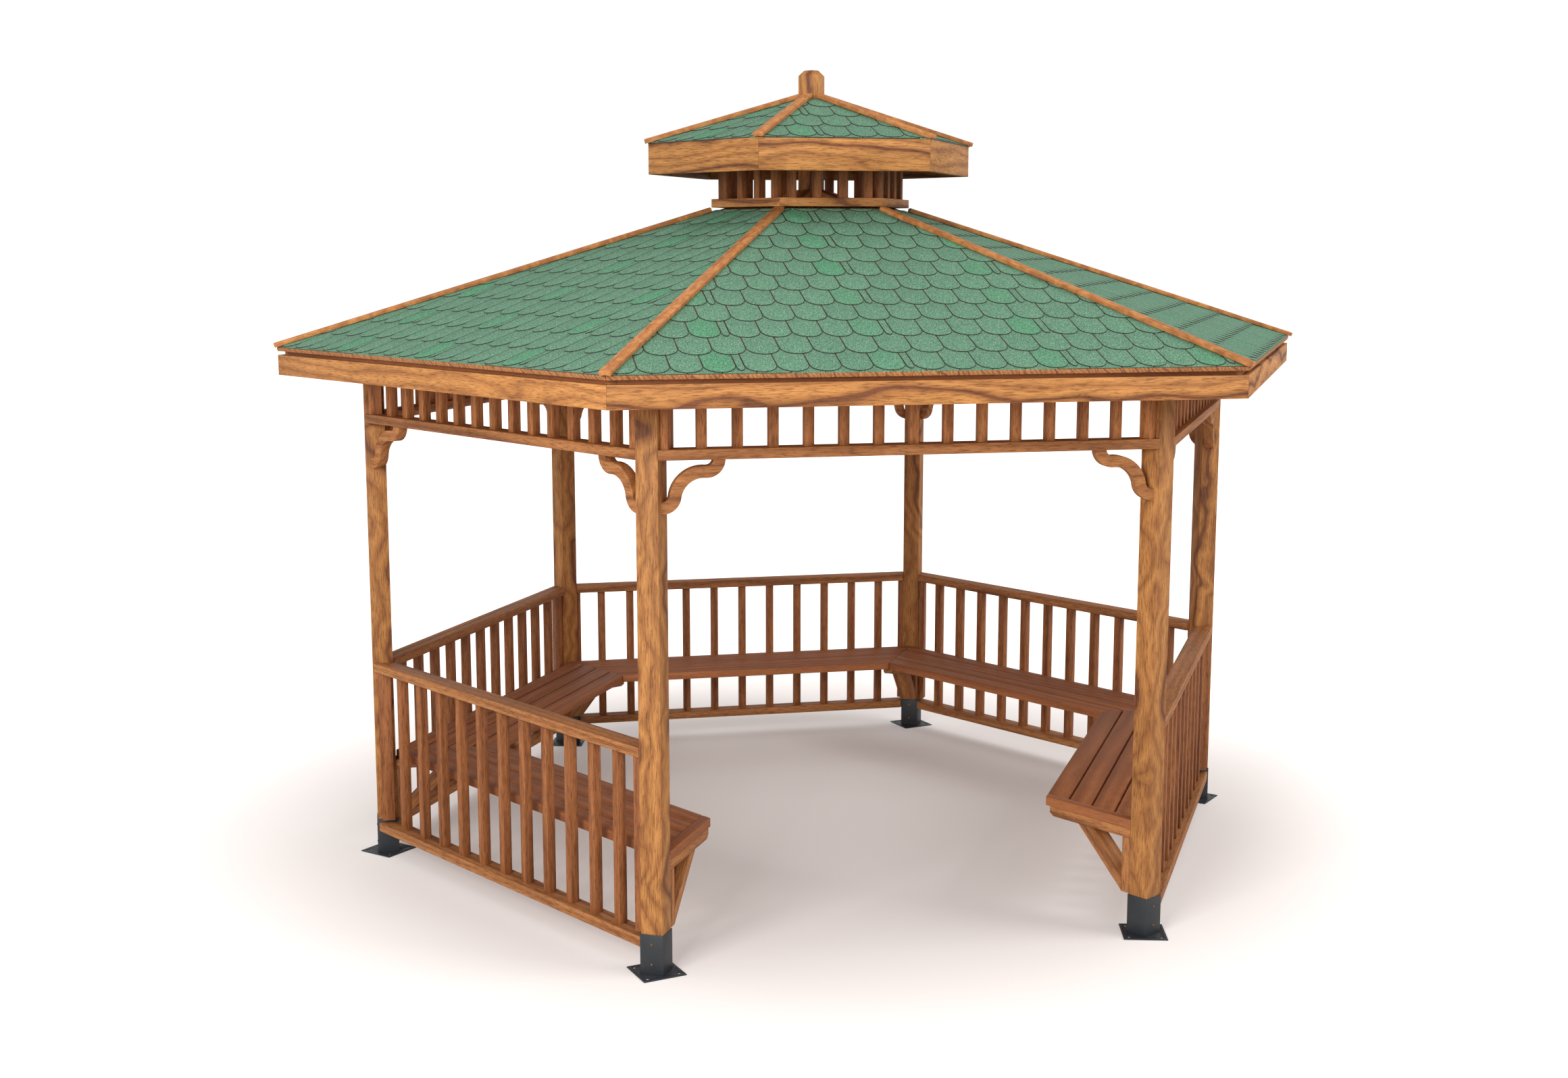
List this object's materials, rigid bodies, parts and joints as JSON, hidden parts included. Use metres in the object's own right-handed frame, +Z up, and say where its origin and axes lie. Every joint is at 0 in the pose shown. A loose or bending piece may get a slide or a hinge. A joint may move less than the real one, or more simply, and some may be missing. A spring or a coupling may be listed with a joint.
{
  "type": "hexagonal wooden gazebo",
  "caption": "Hexagonal open timber gazebo on steel post shoes, with railings, benches round the inside, slatted friezes and a shingled roof under a small lantern cupola.",
  "frame": {"origin": "on the ground at the centre of the plan", "axes": "+Z up, the open entrance faces -Y, two opposite posts lie on the X axis"},
  "size_m": [4.8476, 4.2198, 3.5532],
  "materials": {
    "timber": "satin",
    "seat_timber": "satin",
    "roof_timber": "matte",
    "cap_timber": "satin",
    "shingles": "matte",
    "steel": "matte"
  },
  "bodies": {
    "root": {"post_right": "timber", "post_back_right": "timber", "post_back_left": "timber", "post_left": "timber", "post_front_left": "timber", "post_front_right": "timber", "post_shoes": "steel", "railing_front_right": "timber", "railing_back_right": "timber", "railing_back": "timber", "railing_back_left": "timber", "railing_front_left": "timber", "bench_front_right": "seat_timber", "bench_back_right": "seat_timber", "bench_back": "seat_timber", "bench_back_left": "seat_timber", "bench_front_left": "seat_timber", "bench_end_trims": "seat_timber", "bench_brackets": "timber", "frieze_front": "timber", "frieze_front_right": "timber", "frieze_back_right": "timber", "frieze_back": "timber", "frieze_back_left": "timber", "frieze_front_left": "timber", "scroll_brackets": "timber", "eave_fascia": "timber", "eave_battens": "roof_timber", "hip_rafters": "roof_timber", "roof_front": "roof_timber", "roof_front_right": "roof_timber", "roof_back_right": "roof_timber", "roof_back": "roof_timber", "roof_back_left": "roof_timber", "roof_front_left": "roof_timber", "roof_shingles": "shingles", "hip_caps": "cap_timber", "lantern_ring": "timber", "lantern_slats": "timber", "cupola_fascia": "timber", "cupola_roof": "roof_timber", "cupola_shingles": "shingles", "cupola_hip_caps": "cap_timber", "king_post": "timber"}
  },
  "joints": []
}
